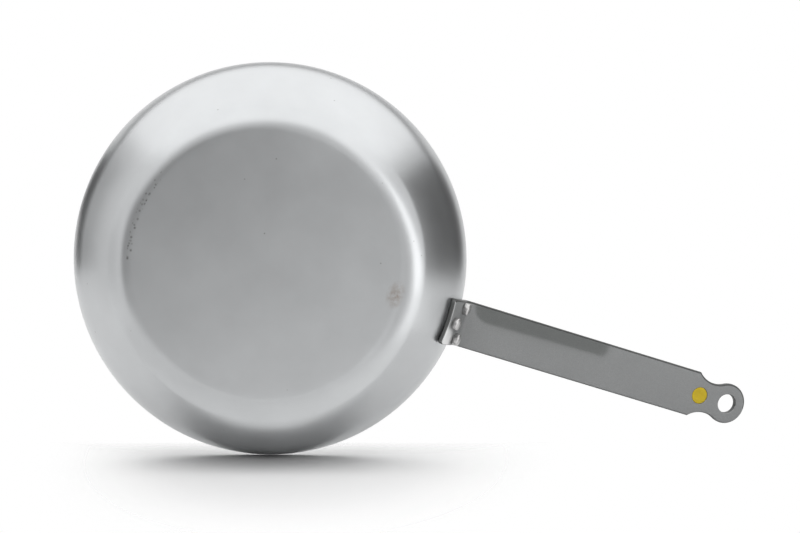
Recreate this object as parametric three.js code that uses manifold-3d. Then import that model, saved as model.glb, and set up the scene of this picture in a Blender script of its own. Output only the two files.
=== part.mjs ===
// Deep frying pan: one pressed sheet steel body, a bent strip handle, three rivets and a marker plug.
// Millimetres, +Z up. The origin is the centre of the underside of the flat base, and the handle points to +X.

import * as THREE from 'three';
import { mergeVertices } from 'three/addons/utils/BufferGeometryUtils.js';
import Module from 'manifold-3d';

const wasm = await Module();
wasm.setup();

// Driving dimensions of the pan body
const rimDiameter = 280;
const panHeight = 68;
const sheet = 3;
const baseBendRadius = 23;
const wallAngle = THREE.MathUtils.degToRad(58);
const wallCurveRadius = 60;
const rimAngle = THREE.MathUtils.degToRad(86);
const rimChamfer = 0.6;

// Driving dimensions of the handle strip
const stripWidth = 33.4;
const stripThickness = 4;
const flangeBelowRim = 3.5;
const flangeLength = 26;
const flangeCorner = 3.5;
const bendRadius = 7;
const handleRise = THREE.MathUtils.degToRad(23);
const eyeDistance = 220;
const holeDiameter = 14;
const eyeWall = 7.8;
const neckInset = 3.4;
const neckRadius = 19;

// Driving dimensions of the rivets and the plug
const shankDiameter = 6;
const outerHeadDiameter = 8.6;
const outerHeadHeight = 4;
const outerHeadEdge = 1.2;
const outerHeadCrown = 0.6;
const innerHeadDiameter = 11;
const innerHeadHeight = 2;
const rivetEndMargin = 7.3;
const rivetBendMargin = 7.8;
const rivetSideMargin = 5.4;
const plugDiameter = 12.4;
const plugToEye = 23.5;

// Clearances between touching pieces
const seatGap = 0.3;
const rivetFit = 0.3;
const plugFit = 0.3;

// Facets of the round shapes
const panFacets = 80;
const rivetFacets = 24;
const arcStep = THREE.MathUtils.degToRad(8);
const headArcStep = THREE.MathUtils.degToRad(30);
const outlineDivisions = 8;
const cornerDivisions = 3;

const weldDistance = 1e-4;

// Wall curve of the pan's outer skin, from which the handle and the rivets take their seats
const rimRadius = rimDiameter / 2;
const curveCentre = new THREE.Vector2(
  rimRadius - wallCurveRadius * Math.sin(rimAngle),
  panHeight + wallCurveRadius * Math.cos(rimAngle),
);
const curveLength = wallCurveRadius * (rimAngle - wallAngle);
const curveFoot = onArc(curveCentre, wallCurveRadius, wallAngle);
const bendTopHeight = baseBendRadius * (1 - Math.cos(wallAngle));
const coneLength = (curveFoot.y - bendTopHeight) / Math.sin(wallAngle);
const baseRadius = curveFoot.x - coneLength * Math.cos(wallAngle) - baseBendRadius * Math.sin(wallAngle);
const bendCentre = new THREE.Vector2(baseRadius, baseBendRadius);

// A point of an arc whose tangent climbs at the given slope, on the side away from the pan's axis
function onArc(centre, radius, slope) {
  return new THREE.Vector2(centre.x + radius * Math.sin(slope), centre.y - radius * Math.cos(slope));
}

function arcPoints(centre, radius, from, to, step = arcStep) {
  const steps = Math.max(2, Math.ceil(Math.abs(to - from) / step));
  const points = [];
  for (let i = 0; i <= steps; i += 1) {
    points.push(onArc(centre, radius, from + ((to - from) * i) / steps));
  }
  return points;
}

// Place, slope and outward normal of the outer wall at a distance measured down from the rim
function wallAt(distance) {
  const slope = distance < curveLength ? rimAngle - distance / wallCurveRadius : wallAngle;
  const point = onArc(curveCentre, wallCurveRadius, slope);
  const along = Math.max(0, distance - curveLength);
  point.x -= along * Math.cos(wallAngle);
  point.y -= along * Math.sin(wallAngle);
  return { point, slope, normal: new THREE.Vector2(Math.sin(slope), -Math.cos(slope)) };
}

// Skin of the pan at an offset from its outer face, from the axis to the rim
function skin(offset) {
  const wallRadius = wallCurveRadius + offset;
  const rimSlope = Math.acos((curveCentre.y - panHeight) / wallRadius);
  return [
    new THREE.Vector2(0, -offset),
    ...arcPoints(bendCentre, baseBendRadius + offset, 0, wallAngle),
    ...arcPoints(curveCentre, wallRadius, wallAngle, rimSlope),
  ];
}

// Closed section of the pan's sheet, grown on both faces by an allowance, with its rim edges broken
function sheetSection(grow, chamfer) {
  const outer = skin(grow);
  const inner = skin(-sheet - grow);
  const outerRim = outer.pop();
  const innerRim = inner.pop();
  const rim = [
    new THREE.Vector2(outerRim.x, outerRim.y - chamfer),
    new THREE.Vector2(outerRim.x - chamfer, outerRim.y),
    new THREE.Vector2(innerRim.x + chamfer, innerRim.y),
    new THREE.Vector2(innerRim.x, innerRim.y - chamfer),
  ];
  return [...outer, ...rim, ...inner.reverse()];
}

// Conversions between three.js geometry and solids that can be joined and cut
function toSolid(geometry) {
  geometry.deleteAttribute('normal');
  geometry.deleteAttribute('uv');
  const welded = mergeVertices(geometry, weldDistance);
  const corners = welded.index.array;
  const triVerts = [];
  for (let i = 0; i < corners.length; i += 3) {
    const [a, b, c] = corners.slice(i, i + 3);
    if (a !== b && b !== c && c !== a) {
      triVerts.push(a, b, c);
    }
  }
  return new wasm.Manifold(new wasm.Mesh({
    numProp: 3,
    vertProperties: Float32Array.from(welded.attributes.position.array),
    triVerts: Uint32Array.from(triVerts),
  }));
}

function toMesh(name, solid, material) {
  const data = solid.getMesh();
  const geometry = new THREE.BufferGeometry();
  geometry.setAttribute('position', new THREE.BufferAttribute(Float32Array.from(data.vertProperties), 3));
  geometry.setIndex(new THREE.BufferAttribute(Uint32Array.from(data.triVerts), 1));
  geometry.computeVertexNormals();
  const mesh = new THREE.Mesh(geometry, material);
  mesh.name = name;
  return mesh;
}

// Turned solid about +Z from a section that runs anticlockwise, radius first and height second
function turned(section, facets) {
  const geometry = new THREE.LatheGeometry([...section, section[0]], facets);
  geometry.rotateX(Math.PI / 2);
  return geometry;
}

// Prism of an outline, raised along the third of three axes from a corner point
function prism(outline, depth, xAxis, yAxis, zAxis, corner) {
  const geometry = new THREE.ExtrudeGeometry(new THREE.Shape(outline), { depth, bevelEnabled: false });
  geometry.applyMatrix4(new THREE.Matrix4().makeBasis(xAxis, yAxis, zAxis).setPosition(corner));
  return toSolid(geometry);
}

// Side view of the strip: flange along the wall, bend, straight handle
const flangeTop = wallAt(flangeBelowRim);
const flangeEnd = wallAt(flangeBelowRim + flangeLength);
const bendStart = flangeTop.point.clone().addScaledVector(flangeTop.normal, seatGap + stripThickness);
const handleBend = bendStart.clone().addScaledVector(flangeTop.normal, bendRadius);
const riseDirection = new THREE.Vector2(Math.cos(handleRise), Math.sin(handleRise));
const eyeRadius = holeDiameter / 2 + eyeWall;
const handleStart = onArc(handleBend, -bendRadius, handleRise);
const plugDistance = eyeDistance - plugToEye;

function stripFace(offset, bend) {
  const steps = Math.ceil(flangeLength / (wallCurveRadius * arcStep));
  const points = [];
  for (let i = 0; i <= steps; i += 1) {
    const seat = wallAt(flangeBelowRim + flangeLength * (1 - i / steps));
    points.push(seat.point.addScaledVector(seat.normal, offset));
  }
  points.pop();
  points.push(...arcPoints(handleBend, -bend, flangeTop.slope, handleRise));
  points.push(points.at(-1).clone().addScaledVector(riseDirection, eyeDistance + eyeRadius));
  return points;
}

function stripSection() {
  const under = stripFace(seatGap + stripThickness, bendRadius);
  const top = stripFace(seatGap, bendRadius + stripThickness);
  return [...under, ...top.reverse()];
}

// Frame of the straight part of the handle: along it, across it, and out of its upper face
const alongHandle = new THREE.Vector3(riseDirection.x, 0, riseDirection.y);
const acrossHandle = new THREE.Vector3(0, 1, 0);
const outOfHandle = new THREE.Vector3().crossVectors(alongHandle, acrossHandle);
const handleOrigin = new THREE.Vector3(handleStart.x, 0, handleStart.y);

function onHandle(along, out) {
  return handleOrigin.clone().addScaledVector(alongHandle, along).addScaledVector(outOfHandle, out);
}

// Plan outline of the strip: straight edges, shoulders, drawn-in neck and round eye
function handleOutline(backLength) {
  const half = stripWidth / 2;
  const neckHalf = Math.min(half, eyeRadius) - neckInset;
  const neckReach = Math.sqrt((neckRadius + eyeRadius) ** 2 - (neckRadius + neckHalf) ** 2);
  const neckAlong = eyeDistance - neckReach;
  const neckAcross = neckHalf + neckRadius;
  const shoulder = Math.acos((neckAcross - half) / neckRadius);
  const joint = Math.asin(neckReach / (neckRadius + eyeRadius));
  const shape = new THREE.Shape();
  shape.moveTo(-backLength, half);
  shape.lineTo(-backLength, -half);
  shape.absarc(neckAlong, -neckAcross, neckRadius, Math.PI / 2 + shoulder, Math.PI / 2 - joint, true);
  shape.absarc(eyeDistance, 0, eyeRadius, -Math.PI / 2 - joint, Math.PI / 2 + joint, false);
  shape.absarc(neckAlong, neckAcross, neckRadius, -Math.PI / 2 + joint, -Math.PI / 2 - shoulder, true);
  return shape.getPoints(outlineDivisions);
}

// Front view of the flange with rounded lower corners, looking at the wall
function flangeOutline(height) {
  const half = stripWidth / 2;
  const shape = new THREE.Shape();
  shape.moveTo(half, height);
  shape.lineTo(-half, height);
  shape.absarc(-half + flangeCorner, flangeCorner, flangeCorner, Math.PI, 1.5 * Math.PI, false);
  shape.absarc(half - flangeCorner, flangeCorner, flangeCorner, 1.5 * Math.PI, 2 * Math.PI, false);
  return shape.getPoints(cornerDivisions);
}

// Round pin solid across the handle, through the strip's thickness with some spare length
function handlePin(along, diameter, from, to) {
  const geometry = new THREE.CylinderGeometry(diameter / 2, diameter / 2, to - from, rivetFacets);
  geometry.applyMatrix4(new THREE.Matrix4().makeBasis(alongHandle, outOfHandle, acrossHandle.clone().negate()));
  const middle = onHandle(along, (from + to) / 2);
  geometry.translate(middle.x, middle.y, middle.z);
  return toSolid(geometry);
}

// Rivet places: two side by side under the bend, one below them in the middle
const rivetSide = stripWidth / 2 - rivetSideMargin;
const upperSeat = flangeBelowRim + rivetBendMargin;
const lowerSeat = flangeBelowRim + flangeLength - rivetEndMargin;
const rivetPlaces = [
  { name: 'rivet_left', seat: upperSeat, side: rivetSide },
  { name: 'rivet_right', seat: upperSeat, side: -rivetSide },
  { name: 'rivet_lower', seat: lowerSeat, side: 0 },
];

// Turned solid standing on the wall at a rivet's place, its axis along the wall's outward normal
function onWall(section, place) {
  const seat = wallAt(place.seat);
  const out = new THREE.Vector3(seat.normal.x, 0, seat.normal.y);
  const side = new THREE.Vector3().crossVectors(acrossHandle, out);
  const geometry = turned(section, rivetFacets);
  const corner = new THREE.Vector3(seat.point.x, place.side, seat.point.y);
  geometry.applyMatrix4(new THREE.Matrix4().makeBasis(side, acrossHandle, out).setPosition(corner));
  return toSolid(geometry);
}

function rodSection(radius, from, to) {
  return [
    new THREE.Vector2(0, from),
    new THREE.Vector2(radius, from),
    new THREE.Vector2(radius, to),
    new THREE.Vector2(0, to),
  ];
}

// Tall button head on the flange: straight side, rounded edge, gently crowned end
const headSeat = seatGap + stripThickness + rivetFit;

function outerHeadSection() {
  const radius = outerHeadDiameter / 2;
  const top = headSeat + outerHeadHeight;
  const edge = new THREE.Vector2(radius - outerHeadEdge, top - outerHeadCrown - outerHeadEdge);
  return [
    new THREE.Vector2(0, headSeat),
    new THREE.Vector2(radius, headSeat),
    ...arcPoints(edge, outerHeadEdge, Math.PI / 2, Math.PI, headArcStep),
    new THREE.Vector2(0, top),
  ];
}

// Low domed head inside the pan, sunk into the wall so that the wall can cut it to shape
function innerHeadSection(depth) {
  const radius = innerHeadDiameter / 2;
  const crown = -depth - innerHeadHeight;
  const domeRadius = (radius ** 2 + innerHeadHeight ** 2) / (2 * innerHeadHeight);
  const dome = new THREE.Vector2(0, crown + domeRadius);
  return [
    ...arcPoints(dome, domeRadius, 0, Math.asin(radius / domeRadius), headArcStep),
    new THREE.Vector2(radius, -sheet / 2),
    new THREE.Vector2(0, -sheet / 2),
  ];
}

// How far inside the tangent plane at a rivet the round wall's inner face lies
function wallDepth(place) {
  const radius = wallAt(place.seat).point.x;
  return sheet + radius - Math.sqrt(radius ** 2 - place.side ** 2);
}

// Materials
const bareSteel = new THREE.MeshStandardMaterial({ color: 0xb4b5b7, roughness: 0.35, metalness: 1 });
const coatedSteel = new THREE.MeshStandardMaterial({ color: 0x87898b, roughness: 0.55, metalness: 0.6 });
const rivetSteel = new THREE.MeshStandardMaterial({ color: 0x9c9a96, roughness: 0.4, metalness: 1 });
const yellowPlastic = new THREE.MeshStandardMaterial({ color: 0xb8a52e, roughness: 0.5, metalness: 0 });

// Drill for the rivet holes, long enough for the wall and the flange together
const drillReach = 2 * (sheet + stripThickness);
const drill = rodSection(shankDiameter / 2 + rivetFit, -drillReach, drillReach);

function drilled(solid) {
  return rivetPlaces.reduce((rest, place) => rest.subtract(onWall(drill, place)), solid);
}

// Pan body: turned sheet with its rivet holes
function panBody() {
  return drilled(toSolid(turned(sheetSection(0, rimChamfer), panFacets)));
}

// Handle: bent strip, trimmed to its two outlines, with its hanging hole, plug hole and rivet holes
function handle() {
  const xAxis = new THREE.Vector3(1, 0, 0);
  const zAxis = new THREE.Vector3(0, 0, 1);
  const edge = new THREE.Vector3(0, stripWidth / 2, 0);
  const bent = prism(stripSection(), stripWidth, xAxis, zAxis, acrossHandle.clone().negate(), edge);

  // Trimming prisms reach past the whole strip on both sides
  const reach = flangeLength + bendRadius + eyeDistance + eyeRadius;
  const eyeEnd = prism(handleOutline(reach), 2 * reach, alongHandle, acrossHandle, outOfHandle,
    onHandle(0, -reach));
  const up = new THREE.Vector3(Math.cos(flangeEnd.slope), 0, Math.sin(flangeEnd.slope));
  const out = new THREE.Vector3().crossVectors(acrossHandle, up);
  const foot = new THREE.Vector3(flangeEnd.point.x, 0, flangeEnd.point.y).addScaledVector(out, -reach);
  const flangeCut = prism(flangeOutline(reach), 2 * reach, acrossHandle, up, out, foot);

  const strip = bent
    .intersect(eyeEnd)
    .intersect(flangeCut)
    .subtract(handlePin(eyeDistance, holeDiameter, -stripThickness, 2 * stripThickness))
    .subtract(handlePin(plugDistance, plugDiameter, -stripThickness, 2 * stripThickness));
  return drilled(strip);
}

// Rivet: both heads and the shank as one solid, its inner head cut to sit on the wall
const wallKeepOut = toSolid(turned(sheetSection(rivetFit, 0), panFacets));

function rivet(place) {
  const depth = wallDepth(place);
  const shankSection = rodSection(
    shankDiameter / 2,
    -depth - innerHeadHeight / 2,
    headSeat + outerHeadHeight / 2,
  );
  const innerHead = onWall(innerHeadSection(depth + rivetFit), place).subtract(wallKeepOut);
  return onWall(outerHeadSection(), place).add(onWall(shankSection, place)).add(innerHead);
}

// Marker plug: flush with both faces of the strip
function markerPlug() {
  return handlePin(plugDistance, plugDiameter - 2 * plugFit, 0, stripThickness);
}

const pan = new THREE.Group();
pan.name = 'deep_frying_pan';
pan.add(toMesh('pan_body', panBody(), bareSteel));
pan.add(toMesh('handle', handle(), coatedSteel));
rivetPlaces.forEach((place) => {
  pan.add(toMesh(place.name, rivet(place), rivetSteel.clone()));
});
pan.add(toMesh('marker_plug', markerPlug(), yellowPlastic));

export default pan;
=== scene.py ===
# %% [markdown]
# # A deep steel frying pan, dressed for its picture
# The pan is one pressed sheet of bare steel with a flat strip for a handle, three rivets and a small
# plug. Its sizes are settled in the CAD model, so this lesson starts by loading that model as a fixed
# frame. Every piece made below sits where its CAD node sits, only with finer curves, softer edges and a
# real finish.

# %% Load the CAD frame
import math

import bmesh
import bpy
from mathutils import Matrix, Vector


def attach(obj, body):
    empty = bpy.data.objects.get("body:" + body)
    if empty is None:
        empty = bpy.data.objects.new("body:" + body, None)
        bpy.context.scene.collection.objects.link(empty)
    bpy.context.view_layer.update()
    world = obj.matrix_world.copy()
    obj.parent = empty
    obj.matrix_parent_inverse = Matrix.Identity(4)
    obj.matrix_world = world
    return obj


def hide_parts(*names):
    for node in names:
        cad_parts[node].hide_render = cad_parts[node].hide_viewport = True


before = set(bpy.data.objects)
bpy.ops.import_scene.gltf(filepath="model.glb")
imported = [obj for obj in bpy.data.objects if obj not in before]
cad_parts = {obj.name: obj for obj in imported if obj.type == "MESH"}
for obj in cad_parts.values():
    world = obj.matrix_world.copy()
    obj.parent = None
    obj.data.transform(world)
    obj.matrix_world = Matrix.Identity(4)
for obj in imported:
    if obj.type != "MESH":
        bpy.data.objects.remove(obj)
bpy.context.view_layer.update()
mm = 0.001
print("CAD nodes:", sorted(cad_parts))

# %% [markdown]
# ## Camera
# The picture shows the underside of the pan, which stands on its rim with the handle hanging to the
# right. The pan lies flat in its own frame, so the camera is the one that turns: it looks up at the base
# from below. A long lens from far away keeps the rim a true circle. Three small turns say how the pan
# stands to the lens, and they also give the picture's own directions, which the studio uses later.

# %% Camera
look_down = math.radians(3.44)
look_aside = math.radians(0.5)
handle_droop = math.radians(18.6)
turn = (
    Matrix.Rotation(look_down, 3, "X")
    @ Matrix.Rotation(look_aside, 3, "Y")
    @ Matrix.Rotation(handle_droop, 3, "Z")
)
to_right = turn[0].copy()
to_top = -turn[1]
to_back = turn[2].copy()
pan_from_lens = Vector((-93.11, -1.4, 2600.0)) * mm
picture_width = 800
focal_pixels = 3745.7

camera_data = bpy.data.cameras.new("camera")
camera_data.sensor_width = 36.0
camera_data.lens = camera_data.sensor_width * focal_pixels / picture_width
camera_data.clip_end = 50.0
camera = bpy.data.objects.new("camera", camera_data)
facing = Matrix((to_right, to_top, -to_back)).transposed().to_4x4()
camera.matrix_world = Matrix.Translation(-(turn.transposed() @ pan_from_lens)) @ facing
bpy.context.scene.collection.objects.link(camera)
bpy.context.scene.camera = camera
bpy.context.scene.view_settings.view_transform = "Standard"
print("lens", round(camera_data.lens, 1), "mm, camera at", [round(c, 3) for c in camera.location])

# %% [markdown]
# ## Wall curve of the pan
# A press draws the pan from a flat disc: a round bend at the base, a straight flare, and a last curve
# that stands almost upright at the rim. The flare springs back to a slight crown of under a millimetre,
# which is too little to notice but makes the reflections slide along the wall. The handle and the rivets
# sit on this wall, so it gets a helper of its own: the place and slope of the outer face at any distance
# down from the rim. The crown changes the slope at the wall's foot a little, so the spot where the wall
# runs into the base bend is found by halving.

# %% Wall curve
rim_radius = 140 * mm
pan_height = 68 * mm
base_bend = 23 * mm
flare = math.radians(58)
wall_round = 60 * mm
rim_slope = math.radians(86)
crown = 0.55 * mm
crown_top = 12 * mm


def on_arc(centre, radius, slope):
    """The point of an arc where its tangent climbs at that slope."""
    return Vector((centre.x + radius * math.sin(slope), centre.y - radius * math.cos(slope)))


wall_centre = Vector((
    rim_radius - wall_round * math.sin(rim_slope),
    pan_height + wall_round * math.cos(rim_slope),
))
curve_length = wall_round * (rim_slope - flare)
curve_foot = on_arc(wall_centre, wall_round, flare)
flare_length = (curve_foot.y - base_bend * (1 - math.cos(flare))) / math.sin(flare)
wall_length = curve_length + flare_length
crowned = wall_length - crown_top
swell = crown * 27 / 4


def wall_at(down):
    """Point, outward normal and slope of the outer wall, a distance down from the rim.

    The crown follows share ** 2 * (1 - share), which is 4 / 27 at its highest. The swell undoes that.
    """
    slope = max(flare, rim_slope - down / wall_round)
    point = on_arc(wall_centre, wall_round, slope)
    point -= max(0.0, down - curve_length) * Vector((math.cos(flare), math.sin(flare)))
    share = max(0.0, (down - crown_top) / crowned)
    point += swell * share ** 2 * (1 - share) * Vector((math.sin(slope), -math.cos(slope)))
    slope += swell / crowned * share * (2 - 3 * share)
    return point, Vector((math.sin(slope), -math.cos(slope))), slope


print("wall", round(wall_length / mm, 1), "mm along its slope, flare", round(flare_length / mm, 1), "mm")

# %% Foot of the wall


def above_bend(down):
    """How far the wall is still above the base bend that would meet it at the same slope."""
    point, _, slope = wall_at(down)
    return point.y - base_bend * (1 - math.cos(slope))


halvings = 40
foot_above = curve_length
foot_below = wall_length + 5 * mm
for _ in range(halvings):
    wall_foot = (foot_above + foot_below) / 2
    if above_bend(wall_foot) > 0:
        foot_above = wall_foot
    else:
        foot_below = wall_foot
foot_point, _, foot_slope = wall_at(wall_foot)
base_radius = foot_point.x - base_bend * math.sin(foot_slope)
bend_centre = Vector((base_radius, base_bend))
print("flat base", round(2 * base_radius / mm, 1), "mm across")

# %% [markdown]
# ## Pan body
# A body like this could be a subdivided cylinder, but it is truly round, so its section is drawn once
# and spun. The base of a steel pan is pressed a trace hollow, so that it sits flat when it gets hot.
# That small dish is in the section, because it also bends the reflections on the base. The cut rim is
# rounded as it is by filing.

# %% Section of the sheet
sheet = 3 * mm
base_dish = 0.5 * mm
base_rings = (0, 0.12, 0.3, 0.5, 0.7, 0.86, 0.96)
wall_rows = 30
rim_edge = 0.9 * mm
rim_turns = [math.radians(15 * i) for i in range(1, 7)]


def arc_run(centre, radius, first, last, step=math.radians(2.5)):
    """Points along an arc from one slope to another, no further apart than a step."""
    count = max(2, math.ceil(abs(last - first) / step))
    return [on_arc(centre, radius, first + (last - first) * i / count) for i in range(count + 1)]


def skin(offset):
    """One face of the sheet from the axis up to just below its rim edge."""
    rings = [base_radius * share for share in base_rings]
    base = [Vector((r, base_dish * (1 - (r / base_radius) ** 2) - offset)) for r in rings]
    bend = arc_run(bend_centre, base_bend + offset, 0, foot_slope)
    top_slope = math.acos((wall_centre.y - pan_height + rim_edge) / (wall_round + offset))
    highest = (rim_slope - top_slope) * wall_round
    rows = [wall_foot + (highest - wall_foot) * i / wall_rows for i in range(1, wall_rows + 1)]
    wall = [point + normal * offset for point, normal, _ in map(wall_at, rows)]
    return base + bend + wall


def rim_run(outer, inner):
    """The two filed edges of the rim, with the narrow flat between them."""
    points = []
    for side, sign in ((outer, -1), (inner, 1)):
        middle = Vector((side.x + sign * rim_edge, side.y))
        edge = [
            Vector((middle.x - sign * rim_edge * math.cos(a), middle.y + rim_edge * math.sin(a)))
            for a in rim_turns
        ]
        points += edge if sign < 0 else edge[::-1]
    return points


outer_skin = skin(0.0)
inner_skin = skin(-sheet)
sheet_section = outer_skin + rim_run(outer_skin[-1], inner_skin[-1]) + inner_skin[::-1]
section_top = max(p.y for p in sheet_section)
print("section points:", len(sheet_section), "top at", round(section_top / mm, 2), "mm")

# %% Spin the section
weld = 1e-7


def as_piece(name, bm):
    """Puts a finished mesh in the scene with smooth shading."""
    mesh = bpy.data.meshes.new(name)
    bm.to_mesh(mesh)
    bm.free()
    mesh.shade_smooth()
    piece = bpy.data.objects.new(name, mesh)
    bpy.context.scene.collection.objects.link(piece)
    return piece


def turned_piece(name, section, steps, place=Matrix.Identity(4)):
    """Spins a section (radius, height) about an axis, as on a lathe, and sets it in place."""
    bm = bmesh.new()
    line = [bm.verts.new((p.x, 0, p.y)) for p in section]
    edges = [bm.edges.new(pair) for pair in zip(line, line[1:])]
    bmesh.ops.spin(bm, geom=line + edges, cent=(0, 0, 0), axis=(0, 0, 1),
                   angle=2 * math.pi, steps=steps, use_merge=True)
    bmesh.ops.remove_doubles(bm, verts=bm.verts, dist=weld)
    bmesh.ops.recalc_face_normals(bm, faces=bm.faces)
    bm.transform(place)
    return as_piece(name, bm)


pan = turned_piece("pan_sheet", sheet_section, steps=288)
print("pan faces:", len(pan.data.polygons))

# %% [markdown]
# ## Handle, cut flat and then folded
# The handle is cut from 4 mm strip, so it is made in that order here: a flat blank with its neck, eye,
# holes and rounded corners, then softened edges, and at last the fold. Bending a finished blank with one
# small function keeps its width true all along, which a curve with a bevel object wouldn't do at the
# eye.

# %% Blank of the handle
strip_width = 33.4 * mm
strip_thick = 4 * mm
flange_drop = 3.5 * mm
flange_length = 26 * mm
flange_corner = 3.5 * mm
fold_radius = 7 * mm
rise = math.radians(23)
eye_at = 220 * mm
hang_hole = 7 * mm
eye_radius = 14.8 * mm
neck_half = eye_radius - 3.4 * mm
neck_round = 19 * mm
plug_at = eye_at - 23.5 * mm
plug_hole = 6.2 * mm

flange_slope = wall_at(flange_drop)[2]
fold_length = (fold_radius + strip_thick / 2) * (flange_slope - rise)
blank_start = -(fold_length + flange_length)


def bow(middle, radius, first, last, count):
    """Points along a flat arc, from one angle to another."""
    turns = [first + (last - first) * i / count for i in range(count + 1)]
    return [Vector((middle[0] + radius * math.cos(a), middle[1] + radius * math.sin(a))) for a in turns]


half = strip_width / 2
neck_reach = math.sqrt((neck_round + eye_radius) ** 2 - (neck_round + neck_half) ** 2)
neck_at = eye_at - neck_reach
neck_side = neck_half + neck_round
shoulder = math.acos((neck_side - half) / neck_round)
joint = math.asin(neck_reach / (neck_round + eye_radius))
quarter = math.pi / 2
corner_in = (blank_start + flange_corner, half - flange_corner)
one_side = bow((neck_at, -neck_side), neck_round, quarter + shoulder, quarter - joint, count=24)
round_eye = bow((eye_at, 0), eye_radius, -quarter - joint, quarter + joint, count=72)
outline = (
    bow((corner_in[0], -corner_in[1]), flange_corner, -2 * quarter, -quarter, count=10)
    + one_side + round_eye[1:-1] + [Vector((p.x, -p.y)) for p in reversed(one_side)]
    + bow(corner_in, flange_corner, quarter, 2 * quarter, count=10)
)
holes = [
    bow((eye_at, 0), hang_hole, 4 * quarter, 0, count=64)[:-1],
    bow((plug_at, 0), plug_hole, 4 * quarter, 0, count=56)[:-1],
]
print("blank is", round((eye_at + eye_radius - blank_start) / mm, 1), "mm long before it is folded")

# %% Thickness and softened edges
strip_edge = 1.2 * mm
hole_edge = 0.5 * mm
plug_hole_edge = 0.2 * mm


def inset(loop, depth):
    """A closed loop moved into the plate, which lies on its left, by a depth."""
    moved = []
    for before, here, after in zip(loop[-1:] + loop[:-1], loop, loop[1:] + loop[:1]):
        first = (here - before).normalized()
        middle = (first + (after - here).normalized()).normalized()
        inward = Vector((-middle.y, middle.x))
        moved.append(here + inward * depth / inward.dot(Vector((-first.y, first.x))))
    return moved


def edge_profile(thick, soft):
    """Depth and height of the rows up the side of a plate, with both edges rounded."""
    turns = [quarter * i / 4 for i in range(5)]
    lower = [(soft * (1 - math.sin(a)), soft * (1 - math.cos(a))) for a in turns]
    return lower + [(depth, thick - height) for depth, height in reversed(lower)]


def flat_blank(loops, thick, softness):
    """A plate from closed loops, each with its own rounding of the edges."""
    bm = bmesh.new()
    borders = [[], []]
    for loop, soft in zip(loops, softness):
        rings = []
        for depth, height in edge_profile(thick, soft):
            rings.append([bm.verts.new((p.x, p.y, height)) for p in inset(loop, depth)])
        for low, high in zip(rings, rings[1:]):
            for corners in zip(low, low[1:] + low[:1], high[1:] + high[:1], high):
                bm.faces.new(corners)
        for border, ring in zip(borders, (rings[0], rings[-1])):
            border += [bm.edges.get(pair) for pair in zip(ring, ring[1:] + ring[:1])]
    for border in borders:
        bmesh.ops.triangle_fill(bm, edges=border, use_beauty=True)
    bmesh.ops.recalc_face_normals(bm, faces=bm.faces)
    bm.normal_update()
    return bm


blank = flat_blank([outline] + holes, strip_thick, [strip_edge, hole_edge, plug_hole_edge])
print("blank faces:", len(blank.faces))

# %% [markdown]
# ## Painted shade and highlight on the cut edges
# The cut edges of the strip get painted shade: dark along both long sides, broader along one of them,
# and darkest at the flange's end where it meets the wall. The end's outer edge gets a painted highlight.
# This could be painted on the folded strip, but on the flat blank it is easy to tell which faces they
# are, by how far they lean. So two face marks are set now, and the coat reads them later.

# %% Mark the painted edge shade and highlight
# Flatness limits and strengths of the painted shade on the cut edges; the crevice at the wall is darkest.
wide_shade_limit = 0.985
narrow_shade_limit = 0.75
end_shade_limit = 0.6
side_shade_strength = 0.94
end_shade_strength = 0.78
crevice_shade_strength = 1.0

painted_edge_shade = blank.faces.layers.float.new("painted_edge_shade")
painted_edge_highlight = blank.faces.layers.float.new("painted_edge_highlight")
# Cut sides get painted shade, with the end's face against the wall darkest; the end's outer bevel gets a
# painted highlight.
for face in blank.faces:
    flatness = abs(face.normal.z)
    middle = face.calc_center_median()
    at_end = middle.x < blank_start + strip_edge
    cut = wide_shade_limit if middle.y < 0 else narrow_shade_limit
    tone = side_shade_strength
    if at_end:
        tone = crevice_shade_strength if middle.z > strip_thick - strip_edge else end_shade_strength
    if at_end and middle.z < strip_edge:
        cut = end_shade_limit
    face[painted_edge_shade] = tone if flatness < cut else 0.0
    face[painted_edge_highlight] = float(at_end and end_shade_limit <= flatness < wide_shade_limit)
print("sheared faces:", sum(face[painted_edge_shade] > 0.5 for face in blank.faces))

# %% [markdown]
# ## Fold of the strip
# A strip is folded over a bar, and its end is then hammered down on the wall. Blender's Simple Deform
# could bend it, but it knows nothing of the wall. Here every point of the blank is sent to its place by
# one function: onto the flange, round the fold, or along the grip. The blank is first cut across and
# along where it will bend. The wall is round, so the flange's two long sides reach in a little further
# than its middle.

# %% Cut lines where the strip will bend
flange_rows = 10
fold_rows = 14
column = half / 3.5
flange_cuts = [blank_start + flange_length * i / flange_rows for i in range(1, flange_rows + 1)]
fold_cuts = [-fold_length * i / fold_rows for i in range(fold_rows)]
side_cuts = [column * i for i in range(-3, 4)]
for cut in flange_cuts + fold_cuts:
    everything = list(blank.verts) + list(blank.edges) + list(blank.faces)
    bmesh.ops.bisect_plane(blank, geom=everything, plane_co=(cut, 0, 0), plane_no=(1, 0, 0), dist=weld)
for cut in side_cuts:
    bent = [face for face in blank.faces if face.calc_center_median().x < -10 * weld]
    bent_edges = {edge for face in bent for edge in face.edges}
    bent_verts = {vert for face in bent for vert in face.verts}
    parts = bent + list(bent_edges) + list(bent_verts)
    bmesh.ops.bisect_plane(blank, geom=parts, plane_co=(0, cut, 0), plane_no=(0, 1, 0), dist=weld)
print("faces after the cuts:", len(blank.faces))

# %% Fold the blank onto the wall
seat_gap = 0.3 * mm
fold_foot, fold_normal, _ = wall_at(flange_drop)
fold_centre = fold_foot + fold_normal * (seat_gap + strip_thick + fold_radius)
grip_start = on_arc(fold_centre, -fold_radius, rise)
grip_along = Vector((math.cos(rise), math.sin(rise)))
grip_up = Vector((-math.sin(rise), math.cos(rise)))


def hugged(side):
    """How far the round wall falls back at a distance to the side of the handle's middle."""
    return rim_radius - math.sqrt(rim_radius ** 2 - side ** 2)


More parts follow.
